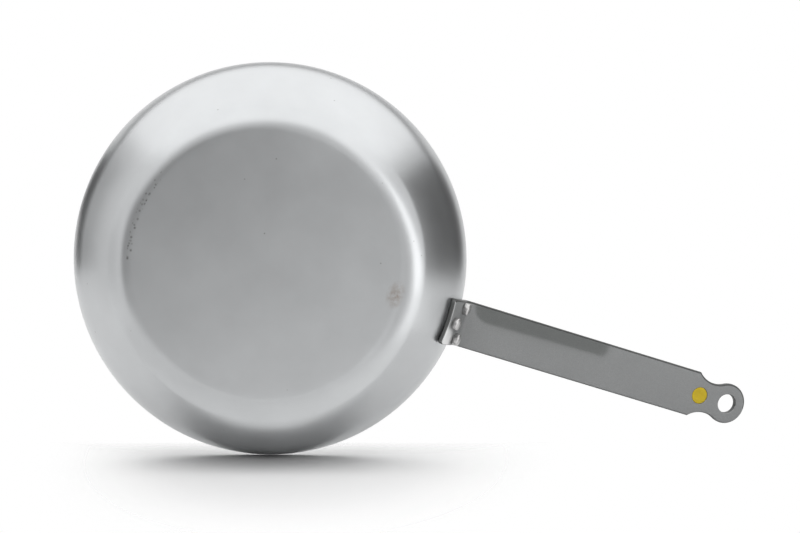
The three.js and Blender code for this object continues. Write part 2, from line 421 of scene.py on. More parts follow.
def folded(along, up, side):
    """Where a point of the flat blank goes: onto the flange, round the fold, or along the grip."""
    if along < -fold_length:
        point, normal, _ = wall_at(flange_drop - fold_length - along)
        place = point + normal * (seat_gap + strip_thick - up)
    elif along < 0:
        turned = rise - along / fold_length * (flange_slope - rise)
        place = on_arc(fold_centre, -(fold_radius + up), turned)
    else:
        place = grip_start + grip_along * along + grip_up * up
    place.x -= min(1.0, max(0.0, -along / fold_length)) ** 2 * hugged(side)
    return place


for vert in blank.verts:
    side_view = folded(vert.co.x, vert.co.z, vert.co.y)
    vert.co = (side_view.x, vert.co.y, side_view.y)
bmesh.ops.recalc_face_normals(blank, faces=blank.faces)
handle = as_piece("handle_strip", blank)
even_out = handle.modifiers.new("flat faces stay flat", "WEIGHTED_NORMAL")
even_out.weight = 80
print("handle box in mm:", [round(side / mm, 1) for side in handle.dimensions])

# %% [markdown]
# ## Rivets
# Three solid rivets hold the flange. Outside they have a tall button head with a struck, nearly flat
# end, and inside a low dome. They could be spheres cut in half, but a rivet is a turned thing, so its
# section is spun like the pan's, and it is stood on the wall along the wall's normal.

# %% Section of a rivet
head_radius = 4.3 * mm
head_height = 4.3 * mm
head_edge = 1.2 * mm
head_shoulder = 0.45 * mm
head_chamfer = Vector((0.15, 0.2)) * mm
struck_flat = 1.1 * mm
struck_ring = 1.9 * mm
struck_sink = 0.1 * mm
shank_radius = 3 * mm
dome_radius = 5.5 * mm
dome_height = 2 * mm
dome_lip = 0.6 * mm
head_seat = seat_gap + strip_thick


def rivet_section(depth, sunk):
    """Half section from the inner dome to the struck head; height 0 is the wall's outer face."""
    seat = head_seat - sunk
    top = head_seat + head_height
    dome_curve = (dome_radius ** 2 + dome_height ** 2) / (2 * dome_height)
    dome_middle = Vector((0, -depth - dome_height + dome_curve))
    dome_end = math.asin(dome_radius / dome_curve)
    dome = arc_run(dome_middle, dome_curve, 0, dome_end, step=math.radians(6))
    shank = [
        Vector((dome_radius, -depth + dome_lip)),
        Vector((shank_radius, -depth + dome_lip)),
        Vector((shank_radius, seat)),
        Vector((head_radius - head_chamfer.x, seat)),
        Vector((head_radius, seat + head_chamfer.y)),
    ]
    edge_middle = Vector((head_radius - head_edge, top - head_shoulder - head_edge))
    rounding = arc_run(edge_middle, head_edge, quarter, 2 * quarter, step=math.radians(12))
    struck = [Vector((struck_ring, top - struck_sink)), Vector((struck_flat, top)), Vector((0, top))]
    return dome + shank + rounding + struck


print("rivet section points:", len(rivet_section(sheet, 0.0)))

# %% Rivets in the flange


def on_wall(down, side):
    """A frame standing on the wall, its third axis along the wall's outward normal."""
    point, normal, _ = wall_at(down)
    out = Vector((normal.x, 0, normal.y))
    across = Vector((0, 1, 0))
    axes = Matrix((across.cross(out), across, out)).transposed().to_4x4()
    return Matrix.Translation((point.x, side, point.y)) @ axes


upper_row = flange_drop + 7.8 * mm
lower_row = flange_drop + flange_length - 7.3 * mm
rivet_side = half - 5.4 * mm
rivet_places = {
    "rivet_left": (upper_row, rivet_side),
    "rivet_right": (upper_row, -rivet_side),
    "rivet_lower": (lower_row, 0.0),
}
rivets = {}
for name, (down, side) in rivet_places.items():
    reach = wall_at(down)[0].x
    depth = sheet + reach - math.sqrt(reach ** 2 - side ** 2)
    section = rivet_section(depth, hugged(side))
    rivets[name] = turned_piece(name + "_turned", section, steps=56, place=on_wall(down, side))
print("rivets:", sorted(rivets))

# %% [markdown]
# ## Marker plug
# A plain yellow plug fills a hole near the neck. It could be a bevelled cylinder, but it is moulded, so
# it has a soft edge and a face that sinks a little in the middle, as plastic does when it cools. One
# half of its section is drawn and mirrored, and it ends level with both faces of the strip.

# %% Marker plug
plug_gap = 0.12 * mm
plug_edge = 0.35 * mm
plug_radius = plug_hole - plug_gap


def plug_section():
    """Half section of the plug, from the middle of one face to the middle of the other."""
    turns = [math.radians(18 * i) for i in range(6)]
    edge_middle = Vector((plug_radius - plug_edge, plug_edge))
    edge = [edge_middle + plug_edge * Vector((math.sin(a), -math.cos(a))) for a in turns]
    sunk = [Vector((0, 0.12 * mm)), Vector((2.2 * mm, 0.1 * mm)), Vector((4.2 * mm, 0.03 * mm))]
    lower_half = sunk + edge
    return lower_half + [Vector((p.x, strip_thick - p.y)) for p in reversed(lower_half)]


grip_axes = Matrix((
    (grip_along.x, 0, grip_up.x),
    (0, 1, 0),
    (grip_along.y, 0, grip_up.y),
)).to_4x4()
plug_foot = grip_start + grip_along * plug_at
plug_place = Matrix.Translation((plug_foot.x, 0, plug_foot.y)) @ grip_axes
plug = turned_piece("marker_plug_moulded", plug_section(), steps=64, place=plug_place)
print("plug faces:", len(plug.data.polygons))

# %% [markdown]
# ## Shared surface effects
# Bare steel, the coated strip, the rivets and the plug all show the same few things at different sizes:
# a fine grain, a slow cloudy change of tone, and small pits. These could be built anew in every
# material, but each is made once as a node group with named sockets, so that a material only has to say
# how large and how strong it wants it.

# %% Helpers for node trees


def node(tree, kind, values=None, **options):
    """A node with some of its sockets and options set."""
    made = tree.nodes.new(kind)
    for name, choice in options.items():
        setattr(made, name, choice)
    for name, value in (values or {}).items():
        made.inputs[name].default_value = value
    return made


def effect_group(name, inputs, outputs):
    """An empty shader node group with named sockets; returns the tree and its two end nodes."""
    tree = bpy.data.node_groups.new(name, "ShaderNodeTree")
    for socket, kind, value in inputs:
        made = tree.interface.new_socket(name=socket, in_out="INPUT", socket_type=kind)
        if value is not None:
            made.default_value = value
    for socket in outputs:
        tree.interface.new_socket(name=socket, in_out="OUTPUT", socket_type="NodeSocketFloat")
    return tree, tree.nodes.new("NodeGroupInput"), tree.nodes.new("NodeGroupOutput")


def use_effect(tree, group, place, values):
    """Places a group in a material, fed with object coordinates."""
    made = tree.nodes.new("ShaderNodeGroup")
    made.node_tree = group
    tree.links.new(place, made.inputs["Place"])
    for name, value in values.items():
        made.inputs[name].default_value = value
    return made


print("node helpers are ready")

# %% Fine grain
number = "NodeSocketFloat"
arrow = "NodeSocketVector"

fine_grain, start, end = effect_group(
    "fine grain", [("Place", arrow, None), ("Grains per metre", number, 1500.0)], ["Height"])
grains = node(fine_grain, "ShaderNodeTexNoise", {"Detail": 3.0, "Roughness": 0.65})
fine_grain.links.new(start.outputs["Place"], grains.inputs["Vector"])
fine_grain.links.new(start.outputs["Grains per metre"], grains.inputs["Scale"])
fine_grain.links.new(grains.outputs["Fac"], end.inputs["Height"])
print("group:", fine_grain.name)

# %% Cloudy tone
cloudy_tone, start, end = effect_group(
    "cloudy tone", [("Place", arrow, None), ("Clouds per metre", number, 20.0),
                    ("Lowest", number, 0.0), ("Highest", number, 1.0)], ["Tone"])
clouds = node(cloudy_tone, "ShaderNodeTexNoise", {"Detail": 4.0, "Roughness": 0.55})
spread = node(cloudy_tone, "ShaderNodeMapRange", {"From Min": 0.3, "From Max": 0.7})
cloudy_tone.links.new(start.outputs["Place"], clouds.inputs["Vector"])
cloudy_tone.links.new(start.outputs["Clouds per metre"], clouds.inputs["Scale"])
cloudy_tone.links.new(clouds.outputs["Fac"], spread.inputs["Value"])
cloudy_tone.links.new(start.outputs["Lowest"], spread.inputs["To Min"])
cloudy_tone.links.new(start.outputs["Highest"], spread.inputs["To Max"])
cloudy_tone.links.new(spread.outputs["Result"], end.inputs["Tone"])
print("group:", cloudy_tone.name)

# %% Small pits
small_pits, start, end = effect_group(
    "small pits", [("Place", arrow, None), ("Pits per metre", number, 300.0),
                   ("Share kept", number, 0.3), ("Width", number, 0.25)], ["Mask"])
cells = node(small_pits, "ShaderNodeTexVoronoi")
drawn = node(small_pits, "ShaderNodeSeparateColor")
kept = node(small_pits, "ShaderNodeMath", operation="LESS_THAN")
core = node(small_pits, "ShaderNodeMapRange", {"To Min": 1.0, "To Max": 0.0})
both = node(small_pits, "ShaderNodeMath", operation="MULTIPLY")
small_pits.links.new(start.outputs["Place"], cells.inputs["Vector"])
small_pits.links.new(start.outputs["Pits per metre"], cells.inputs["Scale"])
small_pits.links.new(cells.outputs["Color"], drawn.inputs["Color"])
small_pits.links.new(drawn.outputs["Red"], kept.inputs[0])
small_pits.links.new(start.outputs["Share kept"], kept.inputs[1])
small_pits.links.new(cells.outputs["Distance"], core.inputs["Value"])
small_pits.links.new(start.outputs["Width"], core.inputs["From Max"])
small_pits.links.new(core.outputs["Result"], both.inputs[0])
small_pits.links.new(kept.outputs["Value"], both.inputs[1])
small_pits.links.new(both.outputs["Value"], end.inputs["Mask"])
print("effect groups:", [group.name for group in bpy.data.node_groups])

# %% [markdown]
# ## Helpers for the materials
# A material could be wired node by node each time. The same few moves come back in all of them, though:
# a sum of two masks, a soft step, a patch, a tint, a roughness and a bump. Each is a small helper, so
# that a material below reads like a list of what it shows.

# %% Helpers for masks


def combined(tree, operation, first, second):
    """A sum, product or other maths of a socket with a socket or number."""
    made = node(tree, "ShaderNodeMath", operation=operation)
    for slot, part in zip(made.inputs, (first, second)):
        if isinstance(part, bpy.types.NodeSocket):
            tree.links.new(part, slot)
        else:
            slot.default_value = part
    return made.outputs["Value"]


def ramp(tree, value, first, last, interpolation="LINEAR"):
    """A mask that is 0 up to the first value and 1 from the last value on."""
    made = node(tree, "ShaderNodeMapRange", {"From Min": first, "From Max": last},
                interpolation_type=interpolation)
    tree.links.new(value, made.inputs["Value"])
    return made.outputs["Result"]


def patch(tree, place, middle, size):
    """A soft round mask, 1 in the middle of a patch and 0 beyond its size."""
    moved = node(tree, "ShaderNodeMapping", {"Location": middle, "Scale": size}, vector_type="TEXTURE")
    ball = node(tree, "ShaderNodeTexGradient", gradient_type="SPHERICAL")
    tree.links.new(place, moved.inputs["Vector"])
    tree.links.new(moved.outputs["Vector"], ball.inputs["Vector"])
    return ball.outputs["Fac"]


print("mask helpers are ready")

# %% Helpers for materials


def material_with(name, values):
    """A node material with one Principled shader; returns its tree, shader and object coordinates."""
    made = bpy.data.materials.new(name)
    made.use_nodes = True
    tree = made.node_tree
    shader = tree.nodes["Principled BSDF"]
    for socket, value in values.items():
        shader.inputs[socket].default_value = value
    place = tree.nodes.new("ShaderNodeTexCoord").outputs["Object"]
    return made, tree, shader, place


def tinted(tree, mask, below, above):
    """Blends two colours by a mask; each is a socket or a plain colour."""
    mix = node(tree, "ShaderNodeMix", data_type="RGBA")
    tree.links.new(mask, mix.inputs[0])
    for socket, colour in ((mix.inputs[6], below), (mix.inputs[7], above)):
        if isinstance(colour, bpy.types.NodeSocket):
            tree.links.new(colour, socket)
        else:
            socket.default_value = (*colour, 1.0)
    return mix.outputs[2]


def roughened(tree, shader, mask, smoothest, roughest):
    """Lets a mask set the shader's roughness between two values."""
    spread = node(tree, "ShaderNodeMapRange", {"To Min": smoothest, "To Max": roughest})
    tree.links.new(mask, spread.inputs["Value"])
    tree.links.new(spread.outputs["Result"], shader.inputs["Roughness"])


def bumped(tree, shader, height, strength, distance):
    """Feeds a height through a Bump node into the shader."""
    bump = node(tree, "ShaderNodeBump", {"Strength": strength, "Distance": distance})
    tree.links.new(height, bump.inputs["Height"])
    tree.links.new(bump.outputs["Normal"], shader.inputs["Normal"])


print("material helpers are ready")

# %% [markdown]
# ## Bare satin steel
# The sheet is bare carbon steel with a satin skin: it mirrors the studio in soft, wide patches. Its
# colour is all reflection, so a painted grey would never look right. The metal gets a plain steel tone
# instead, and a roughness near 0.3. Slow clouds, a fine grain, tiny pits along one part of the base
# bend, a few stray specks and a faint brown finger mark keep it from looking drawn.

# %% Steel of the pan
steel_shade = (0.486, 0.496, 0.504)
steel_light = (0.526, 0.537, 0.545)

pan_steel, tree, shader, place = material_with("satin steel", {"Metallic": 1.0})
tone = use_effect(tree, cloudy_tone, place, {"Clouds per metre": 24.0})
grain = use_effect(tree, fine_grain, place, {"Grains per metre": 1400.0})
steel = tinted(tree, tone.outputs["Tone"], steel_shade, steel_light)
uneven = combined(tree, "MULTIPLY", tone.outputs["Tone"], grain.outputs["Height"])
roughened(tree, shader, uneven, smoothest=0.285, roughest=0.335)
bumped(tree, shader, grain.outputs["Height"], strength=0.04, distance=0.3 * mm)
pan.data.materials.append(pan_steel)
print("satin steel on", pan.name)

# %% Pits along the base bend
pit_colour = (0.17, 0.165, 0.16)
pit_ring = 95.3 * mm
pit_ring_half = 1.8 * mm
pit_middle = (-92 * mm, -10 * mm, 1 * mm)
pit_reach = (34 * mm, 42 * mm, 6 * mm)

pits = use_effect(tree, small_pits, place,
                  {"Pits per metre": 420.0, "Share kept": 0.45, "Width": 0.52})
specks = use_effect(tree, small_pits, place,
                    {"Pits per metre": 120.0, "Share kept": 0.09, "Width": 0.09})
outwards = node(tree, "ShaderNodeVectorMath", operation="MULTIPLY")
outwards.inputs[1].default_value = (1.0, 1.0, 0.0)
tree.links.new(place, outwards.inputs[0])
from_axis = node(tree, "ShaderNodeVectorMath", operation="LENGTH")
tree.links.new(outwards.outputs["Vector"], from_axis.inputs[0])
on_ring = node(tree, "ShaderNodeMath", operation="COMPARE")
tree.links.new(from_axis.outputs["Value"], on_ring.inputs[0])
on_ring.inputs[1].default_value = pit_ring
on_ring.inputs[2].default_value = pit_ring_half
in_zone = combined(tree, "GREATER_THAN", patch(tree, place, pit_middle, pit_reach), 0.05)
pit_zone = combined(tree, "MULTIPLY", in_zone, on_ring.outputs["Value"])
pit_mask = combined(tree, "MULTIPLY", pits.outputs["Mask"], pit_zone)
dark_mask = combined(tree, "MAXIMUM", pit_mask, specks.outputs["Mask"])
pitted = tinted(tree, dark_mask, steel, pit_colour)
print("pits lie", round(pit_ring / mm, 1), "mm from the axis")

# %% Finger mark
finger_brown = (0.3, 0.24, 0.2)
finger_middle = (92 * mm, -8.5 * mm, 0.5 * mm)
finger_reach = (7 * mm, 11 * mm, 6 * mm)

finger_shape = patch(tree, place, finger_middle, finger_reach)
finger_lines = use_effect(tree, cloudy_tone, place, {"Clouds per metre": 330.0, "Highest": 1.1})
finger_mark = combined(tree, "MULTIPLY", finger_shape, finger_lines.outputs["Tone"])
tree.links.new(tinted(tree, finger_mark, pitted, finger_brown), shader.inputs["Base Color"])
print("pan steel nodes:", len(tree.nodes))

# %% [markdown]
# ## Coated strip
# The handle has a thin matte grey coat over rolled strip, with a fine even speckle like cast epoxy. It
# is paint, so its colour is its own and its shine is low. Slow clouds stand for handling. A soft bright
# metallic patch on one lower corner of the flange is a painted highlight. The cut edges get painted
# shade and the flange's end a painted highlight line, both read from the face marks that were set
# on the blank.

# %% Coat of the handle
coat_shade = (0.36, 0.369, 0.371)
coat_light = (0.41, 0.418, 0.42)
speck_grey = (0.29, 0.297, 0.299)

handle_coat, tree, shader, place = material_with("matte grey coat", {"Specular IOR Level": 0.6})
tone = use_effect(tree, cloudy_tone, place, {"Clouds per metre": 26.0})
grain = use_effect(tree, fine_grain, place, {"Grains per metre": 1700.0})
grey = tinted(tree, tone.outputs["Tone"], coat_shade, coat_light)
speckle = ramp(tree, grain.outputs["Height"], first=0.32, last=0.68)
coat = tinted(tree, speckle, speck_grey, grey)
roughened(tree, shader, grain.outputs["Height"], smoothest=0.36, roughest=0.5)
bumped(tree, shader, grain.outputs["Height"], strength=0.18, distance=0.25 * mm)
handle.data.materials.append(handle_coat)
print("grey coat on", handle.name)

# %% Painted highlight on the flange corner and painted shade on the cut edges
# Painted highlight: a soft bright metallic patch on the lower corner of the flange.
corner_highlight_steel = (0.72, 0.72, 0.72)
painted_shade_black = (0.03, 0.032, 0.03)
edge_highlight_grey = (0.6, 0.61, 0.61)
highlight_corner = on_wall(flange_drop + flange_length - 2 * mm, half - 4 * mm).translation
highlight_reach = (15 * mm, 13 * mm, 15 * mm)

highlight_shape = patch(tree, place, highlight_corner, highlight_reach)
highlight_mask = ramp(tree, highlight_shape, first=0.05, last=0.5, interpolation="SMOOTHSTEP")
tree.links.new(highlight_mask, shader.inputs["Metallic"])
coat_with_highlight = tinted(tree, highlight_mask, coat, corner_highlight_steel)
# The cut edges are darkened towards black as painted shade.
edge_shade_mark = node(tree, "ShaderNodeAttribute", attribute_name="painted_edge_shade").outputs["Fac"]
edge_highlight_mark = node(tree, "ShaderNodeAttribute", attribute_name="painted_edge_highlight").outputs["Fac"]
edged = tinted(tree, edge_shade_mark, coat_with_highlight, painted_shade_black)
# A light grey on the flange end's outer bevel is a painted highlight.
tree.links.new(tinted(tree, edge_highlight_mark, edged, edge_highlight_grey), shader.inputs["Base Color"])
print("handle coat nodes:", len(tree.nodes))

# %% [markdown]
# ## Rivet steel and plug plastic
# The rivets are steel like the sheet, but the setting tool left them more uneven in tone and shine. The
# plug is a mustard plastic that is a little uneven in tone. A plain metal and a plain yellow would do
# from afar, but not close by, so both use the same groups with other sizes.

# %% Steel of the rivets
rivet_shade = (0.43, 0.425, 0.42)
rivet_light = (0.56, 0.555, 0.55)

rivet_steel, tree, shader, place = material_with("set rivet steel", {"Metallic": 1.0})
tone = use_effect(tree, cloudy_tone, place, {"Clouds per metre": 380.0})
grain = use_effect(tree, fine_grain, place, {"Grains per metre": 2200.0})
worked = tinted(tree, tone.outputs["Tone"], rivet_shade, rivet_light)
tree.links.new(worked, shader.inputs["Base Color"])
roughened(tree, shader, tone.outputs["Tone"], smoothest=0.24, roughest=0.4)
bumped(tree, shader, grain.outputs["Height"], strength=0.08, distance=0.2 * mm)
for piece in rivets.values():
    piece.data.materials.append(rivet_steel)
print("rivet steel nodes:", len(tree.nodes))

# %% Plastic of the plug
mustard_shade = (0.76, 0.545, 0.006)
mustard_light = (0.88, 0.65, 0.014)

plug_plastic, tree, shader, place = material_with("mustard plastic", {"Specular IOR Level": 0.4})
tone = use_effect(tree, cloudy_tone, place, {"Clouds per metre": 220.0})
grain = use_effect(tree, fine_grain, place, {"Grains per metre": 2600.0})
mustard = tinted(tree, tone.outputs["Tone"], mustard_shade, mustard_light)
tree.links.new(mustard, shader.inputs["Base Color"])
roughened(tree, shader, grain.outputs["Height"], smoothest=0.42, roughest=0.55)
bumped(tree, shader, grain.outputs["Height"], strength=0.06, distance=0.2 * mm)
plug.data.materials.append(plug_plastic)
print("materials:", [m.name for m in (pan_steel, handle_coat, rivet_steel, plug_plastic)])

# %% [markdown]
# ## Floor
# In the picture the pan stands on its rim, so the picture's floor touches the rim's lowest point. In
# every other view the pan lies on its base, on a table at height zero. One plane can't do both, so there
# are two, and each shows only its upper face and keeps the pan's shadow. So that neither gets in the
# other's way, the picture's floor fades out a little way round the pan and just behind the rim, and the
# table fades to white.

# %% Stage helpers
pan_middle = Vector((0, 0, 40 * mm))


def in_studio(right, up, back):
    """A point measured from the pan's middle as in the picture: right, up, and away from the lens."""
    return pan_middle + to_right * right + to_top * up + to_back * back


def stage_plane(name, middle, width_axis, height_axis, finish, width, height):
    """A flat stage object; its front looks along the cross product of its two axes."""
    bm = bmesh.new()
    bmesh.ops.create_grid(bm, x_segments=8, y_segments=8, size=0.5)
    bmesh.ops.scale(bm, vec=(width, height, 1), verts=bm.verts)
    plane = as_piece(name, bm)
    axes = Matrix((width_axis, height_axis, width_axis.cross(height_axis))).transposed().to_4x4()
    plane.matrix_world = Matrix.Translation(middle) @ axes
    plane.data.materials.append(finish)
    return plane


def mixed(tree, share, first, second):
    """One shader turned into another by a share from 0 to 1."""
    mix = node(tree, "ShaderNodeMixShader")
    tree.links.new(share, mix.inputs["Fac"])
    tree.links.new(first, mix.inputs[1])
    tree.links.new(second, mix.inputs[2])
    return mix.outputs["Shader"]


print("stage helpers are ready")

# %% Finish of a floor


def pale_floor(name, shade, lift, clear, gone, depth, far, behind, beyond):
    """A pale floor that shows its front only, in a plain shade with a little lift of its own.

    The camera sees it whole up to clear metres from its middle and not at all from gone metres on, and
    depth times as far along its second axis. Along that axis it is also gone at behind metres past its
    middle. Where it is gone, the shader node named by beyond shows. The steel mirrors it out to the far
    distance.
    """
    made = bpy.data.materials.new(name)
    made.use_nodes = True
    tree = made.node_tree
    tree.nodes.remove(tree.nodes["Principled BSDF"])
    place = node(tree, "ShaderNodeTexCoord").outputs["Object"]
    seen = node(tree, "ShaderNodeLightPath").outputs["Is Camera Ray"]
    back = node(tree, "ShaderNodeNewGeometry").outputs["Backfacing"]
    where = node(tree, "ShaderNodeSeparateXYZ")
    tree.links.new(place, where.inputs["Vector"])
    drawn_in = node(tree, "ShaderNodeMapping", {"Scale": (1.0, 1.0 / depth, 1.0)})
    tree.links.new(place, drawn_in.inputs["Vector"])
    reach = node(tree, "ShaderNodeVectorMath", operation="LENGTH")
    tree.links.new(drawn_in.outputs["Vector"], reach.inputs[0])

    round_fade = ramp(tree, reach.outputs["Value"], clear, gone, "SMOOTHSTEP")
    back_fade = ramp(tree, where.outputs["Y"], 0.0, behind)
    far_start = far / 3
    far_fade = ramp(tree, reach.outputs["Value"], far_start, far, "SMOOTHSTEP")
    faded = combined(tree, "MAXIMUM", round_fade, back_fade)
    faded = combined(tree, "MULTIPLY", faded, seen)
    faded = combined(tree, "MAXIMUM", faded, far_fade)

    face = node(tree, "ShaderNodeBsdfDiffuse", {"Color": (shade, shade, shade, 1.0)})
    glow = node(tree, "ShaderNodeEmission", {"Strength": lift})
    lit = node(tree, "ShaderNodeAddShader")
    tree.links.new(face.outputs["BSDF"], lit.inputs[0])
    tree.links.new(glow.outputs["Emission"], lit.inputs[1])
    open_air = node(tree, "ShaderNodeBsdfTransparent")
    front = mixed(tree, faded, lit.outputs["Shader"], node(tree, beyond).outputs[0])
    either_side = mixed(tree, back, front, open_air.outputs["BSDF"])
    tree.links.new(either_side, tree.nodes["Material Output"].inputs["Surface"])
    return made


floor_white = pale_floor("picture floor white", shade=0.7, lift=0.0, clear=0.085, gone=0.19, depth=1.6,
                         far=0.9, behind=0.04, beyond="ShaderNodeBsdfTransparent")
table_white = pale_floor("table white", shade=0.8, lift=0.36, clear=0.35, gone=0.95, depth=1.0,
                         far=3.0, behind=9.0, beyond="ShaderNodeEmission")
print("floor finishes:", floor_white.name, "and", table_white.name)

# %% Picture floor and table
floor_seen_at = math.radians(10.5)
floor_up = (to_top * math.cos(floor_seen_at) - to_back * math.sin(floor_seen_at)).normalized()
floor_back = floor_up.cross(to_right).normalized()
floor_right = floor_back.cross(floor_up)
whole_turn = [math.radians(2 * i) for i in range(180)]
rim_ring = [Vector((rim_radius * math.cos(a), rim_radius * math.sin(a), pan_height)) for a in whole_turn]
touch = min(rim_ring, key=lambda p: p.dot(floor_up))

floor_middle = touch + floor_right * 0.02
picture_floor = stage_plane("picture_floor", floor_middle, floor_right, floor_back, floor_white,
                            width=2.4, height=2.4)
picture_floor.visible_shadow = False
picture_floor.visible_diffuse = False

table_middle = Vector((0.08, 0, -0.0002))
along_x = Vector((1, 0, 0))
along_y = Vector((0, 1, 0))
table = stage_plane("table", table_middle, along_x, along_y, table_white, width=8.0, height=8.0)
table.visible_diffuse = False
table.visible_glossy = False
table.visible_transmission = False
table.visible_shadow = False
print("the rim touches the picture floor at", [round(c / mm, 1) for c in touch])

# %% [markdown]
# ## Studio light
# Steel has no look of its own: it shows the room. A picture of a room could stand in for it, but a small
# product studio built from plain parts is easier to change. A white surround is everywhere, a wide soft
# box hangs above and in front, and a strip box stands at the front right. Both of these show in the
# metal. Three more boxes only light the pan, its floor and the table, and the metal doesn't mirror them.

# %% White surround
white = (1.0, 1.0, 1.0, 1.0)
world = bpy.data.worlds.new("white surround")
world.use_nodes = True
bpy.context.scene.world = world
tree = world.node_tree
soft_white = tree.nodes["Background"]
soft_white.inputs["Color"].default_value = white
soft_white.inputs["Strength"].default_value = 0.1
backdrop = node(tree, "ShaderNodeBackground", {"Color": white, "Strength": 1.0})
rays = node(tree, "ShaderNodeLightPath")
seen = combined(tree, "MAXIMUM", rays.outputs["Is Camera Ray"], rays.outputs["Is Glossy Ray"])
seen = combined(tree, "MAXIMUM", seen, rays.outputs["Is Transmission Ray"])
surround = mixed(tree, seen, soft_white.outputs["Background"], backdrop.outputs["Background"])
tree.links.new(surround, tree.nodes["World Output"].inputs["Surface"])
print("surround: white in view and in the metal, softer as light")

# %% Soft boxes


def soft_box(name, middle, long_axis, towards, length, width, glow):
    """An area lamp of a given brightness per area, where 1 is white, facing a direction."""
    data = bpy.data.lights.new(name, "AREA")
    data.shape = "RECTANGLE"
    data.size = length
    data.size_y = width
    data.energy = glow * math.pi * length * width
    lamp = bpy.data.objects.new(name, data)
    backwards = -towards.normalized()
    side = (long_axis - backwards * long_axis.dot(backwards)).normalized()
    axes = Matrix((side, backwards.cross(side), backwards)).transposed().to_4x4()
    lamp.matrix_world = Matrix.Translation(middle) @ axes
    lamp.visible_camera = False
    bpy.context.scene.collection.objects.link(lamp)
    return lamp


top_middle = in_studio(0.0, 1.0, -1.45)
top_length = 5.1
top_width = 2.4
top_box = soft_box("top_soft_box", top_middle, to_back, -to_top, top_length, top_width, glow=1.55)
strip_middle = in_studio(1.0, 0.05, -0.71)
strip_lean = to_top * 0.95 - to_back * 1.42
side_box = soft_box("side_strip_box", strip_middle, strip_lean, -to_right,
                    length=1.8, width=0.45, glow=1.12)
print("boxes seen in the metal:", top_box.name, side_box.name)

# %% Boxes that only light
ceiling_middle = Vector((0.1, 0, 2.2))
straight_down = Vector((0, 0, -1))
back_middle = in_studio(0.0, 1.3, 0.9)
front_middle = in_studio(0.0, 1.3, -0.75)
lighting_only = [
    soft_box("ceiling_soft_box", ceiling_middle, along_x, straight_down, length=3.0, width=3.0, glow=0.8),
    soft_box("back_soft_box", back_middle, to_right, -to_top, length=2.2, width=1.3, glow=1.0),
    soft_box("front_soft_box", front_middle, to_right, -to_top, length=2.2, width=1.1, glow=1.2),
]
for lamp in lighting_only:
    lamp.visible_glossy = False
print("boxes that only light:", [lamp.name for lamp in lighting_only])

# %% [markdown]
# ## Cards
# A photographer shapes what steel mirrors with cards just outside the picture. Grey ones round the lens
# give the base its even tone, white ones on the floor lift the lower wall, and dark ones at the sides
# and behind draw the dark edges. One flat grey each would do for a first try, but light falls off across
# a real card, so the large ones are graded. The camera doesn't see the cards and they throw no shadow,
# and all but four of the dark ones show in reflections only.

# %% Card helpers


def card_finish(name, shade, glow):
    """Plain card: a grey of its own plus the light it throws back, where 1 is white."""
    made, _, shader, _ = material_with(name, {"Roughness": 0.9, "Emission Strength": glow})
    shader.inputs["Base Color"].default_value = (shade, shade, shade, 1.0)
    shader.inputs["Emission Color"].default_value = white
    return made


def graded_finish(name, shade, middle, per_right, per_up, least, most):
    """A card whose glow changes by so much per metre from its middle, between a least and a most."""
    made = card_finish(name, shade, 1.0)
    tree = made.node_tree
    where = node(tree, "ShaderNodeSeparateXYZ")
    tree.links.new(node(tree, "ShaderNodeTexCoord").outputs["Object"], where.inputs["Vector"])
    across = combined(tree, "MULTIPLY", where.outputs["X"], per_right)
    upwards = combined(tree, "MULTIPLY", where.outputs["Y"], per_up)
    slope = combined(tree, "ADD", across, upwards)
    glow = node(tree, "ShaderNodeClamp", {"Min": least, "Max": most})
    tree.links.new(combined(tree, "ADD", slope, middle), glow.inputs["Value"])
    tree.links.new(glow.outputs["Result"], tree.nodes["Principled BSDF"].inputs["Emission Color"])
    return made


def card(name, middle, width_axis, height_axis, finish, width, height):
    """A card that the camera doesn't see and that throws no shadow."""
    plane = stage_plane(name, middle, width_axis, height_axis, finish, width, height)
    plane.visible_camera = False
    plane.visible_shadow = False
    return plane


def mirror_card(name, middle, width_axis, height_axis, finish, width, height):
    """A card that shows in reflections only and sheds no light."""
    plane = card(name, middle, width_axis, height_axis, finish, width, height)
    plane.visible_diffuse = False
    return plane


print("card helpers are ready")

# %% Grey cards round the lens
lens_grey = graded_finish("lens card grey", 0.05, middle=0.455, per_right=0.9, per_up=-1.9,
                          least=0.2, most=1.1)
upper_grey = graded_finish("upper card grey", 0.05, middle=0.875, per_right=0.0, per_up=3.7,
                           least=0.5, most=1.3)
side_grey = graded_finish("side card grey", 0.05, middle=0.71, per_right=0.7, per_up=0.0,
                          least=0.5, most=1.0)
corner_grey = card_finish("corner card grey", 0.05, glow=0.9)
left_grey = card_finish("left card grey", 0.05, glow=0.8)
lens_at = in_studio(-0.1125, -0.0175, -0.38)
upper_at = in_studio(-0.06, 0.2125, -0.38)
side_at = in_studio(0.32, -0.09, -0.38)
corner_at = in_studio(0.105, 0.1, -0.37)
left_at = in_studio(-0.7, 0.02, -0.09)
grey_cards = [
    mirror_card("lens_card", lens_at, to_right, to_top, lens_grey, width=0.625, height=0.285),
    mirror_card("upper_card", upper_at, to_right, to_top, upper_grey, width=0.4, height=0.175),
    mirror_card("side_card", side_at, to_right, to_top, side_grey, width=0.24, height=0.28),
    mirror_card("corner_card", corner_at, to_right, to_top, corner_grey, width=0.2, height=0.07),
    mirror_card("left_card", left_at, to_back, to_top, left_grey, width=0.5, height=0.26),
]
print("grey cards:", [plane.name for plane in grey_cards])

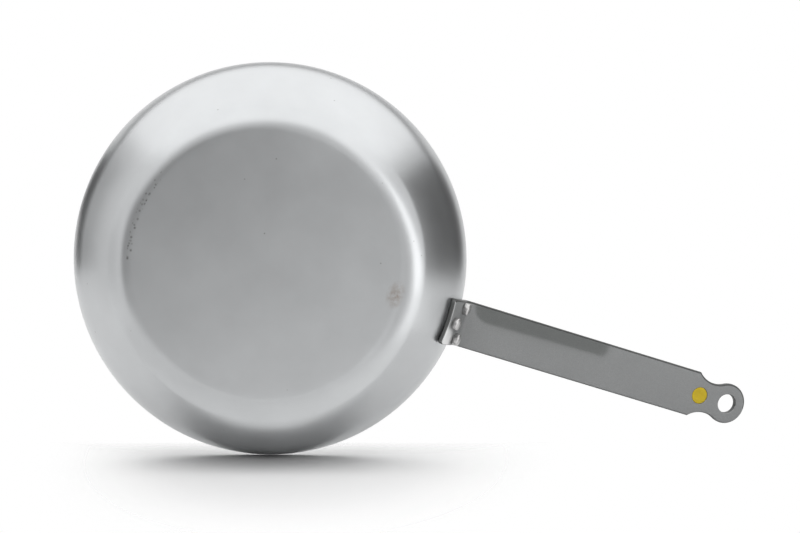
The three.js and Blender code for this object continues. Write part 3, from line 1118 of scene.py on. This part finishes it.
# %% Dark cards
black = card_finish("black card", 0.02, glow=0.02)
dark = card_finish("dark card", 0.02, glow=0.048)
right_at = in_studio(0.9, 0.22, 0.59)
far_left_at = in_studio(-1.0, 0.27, 0.985)
left_back_at = in_studio(-1.0, 0.43, 1.63)
top_at = in_studio(0.0, 0.97, 1.2)
box_back_at = in_studio(0.0, 1.02, -1.45)
dark_cards = [
    card("right_dark_card", right_at, to_back, to_top, dark, width=0.94, height=0.7),
    card("left_black_card", far_left_at, to_back, to_top, black, width=0.83, height=0.68),
    card("left_back_card", left_back_at, to_back, to_top, black, width=0.46, height=0.46),
    card("top_black_card", top_at, to_right, to_top, black, width=3.2, height=0.36),
    mirror_card("top_box_back", box_back_at, to_right, to_back, black, top_width, top_length),
]
print("dark cards:", [plane.name for plane in dark_cards])

# %% White cards on the floor
front_white = graded_finish("floor card white", 0.02, middle=0.88, per_right=0.55, per_up=0.7,
                            least=0.87, most=1.2)
side_white = graded_finish("side floor card white", 0.02, middle=1.42, per_right=0.5, per_up=-3.2,
                           least=0.75, most=1.5)
front_at = touch - floor_back * 0.238 + floor_up * 0.0006
beside_at = touch + floor_right * 0.64 - floor_back * 0.02 + floor_up * 0.0009
white_cards = [
    mirror_card("floor_card", front_at, floor_right, floor_back, front_white, width=0.6, height=0.4),
    mirror_card("side_floor_card", beside_at, floor_right, floor_back, side_white,
                width=0.72, height=0.5),
]
print("white cards:", [plane.name for plane in white_cards])

# %% [markdown]
# ## Net over the handle
# A small net, as photographers clip to a stand, takes some light off the upper half of the handle near
# the pan. It could be a lamp that shines less there, but a lamp has no such sharp edge. So it is a flat
# sheet of see-through cloth just in front of the strip, which only thins the light: neither the camera
# nor the metal sees it.

# %% Net
net_tint = (0.45, 0.465, 0.45, 1.0)
net_gap = 1.6 * mm
net_start = 1 * mm
net_end = 113 * mm
net_outside = -half - 9 * mm
net_near = -half + 10.8 * mm
net_far = -half + 9.2 * mm
near_round = 13 * mm
far_round = 6 * mm

net_cloth = bpy.data.materials.new("net cloth")
net_cloth.use_nodes = True
tree = net_cloth.node_tree
tree.nodes.remove(tree.nodes["Principled BSDF"])
thinned = node(tree, "ShaderNodeBsdfTransparent", {"Color": net_tint})
tree.links.new(thinned.outputs["BSDF"], tree.nodes["Material Output"].inputs["Surface"])

net_outline = (
    [Vector((net_start, net_outside)), Vector((net_end, net_outside))]
    + bow((net_end - far_round, net_far - far_round), far_round, 0, quarter, count=8)
    + bow((net_start + near_round, net_near - near_round), near_round, quarter, 2 * quarter, count=10)
)
bm = bmesh.new()
ring = [bm.verts.new((p.x, p.y, -net_gap)) for p in net_outline]
net_edges = [bm.edges.new(pair) for pair in zip(ring, ring[1:] + ring[:1])]
bmesh.ops.triangle_fill(bm, edges=net_edges, use_beauty=True)
bm.transform(Matrix.Translation((grip_start.x, 0, grip_start.y)) @ grip_axes)
net = as_piece("handle_net", bm)
net.data.materials.append(net_cloth)
net.visible_camera = False
net.visible_glossy = False

# %% [markdown]
# ## Join the pieces to the frame
# Each entry in the list names a piece, the CAD node it stands for and the material slot of the record
# meant for its finish. The loop hangs every piece under the root body and hides its CAD node. This could
# be done piece by piece as they are made, but in one list it is easy to check.

# %% Ride and replace
pairs = [
    (pan, "pan_body", "pan_steel"),
    (handle, "handle", "handle_coat"),
    (plug, "marker_plug", "plug_plastic"),
]
pairs += [(piece, name, "rivet_steel") for name, piece in rivets.items()]
for piece, cad_node, finish in pairs:
    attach(piece, "root")
    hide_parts(cad_node)
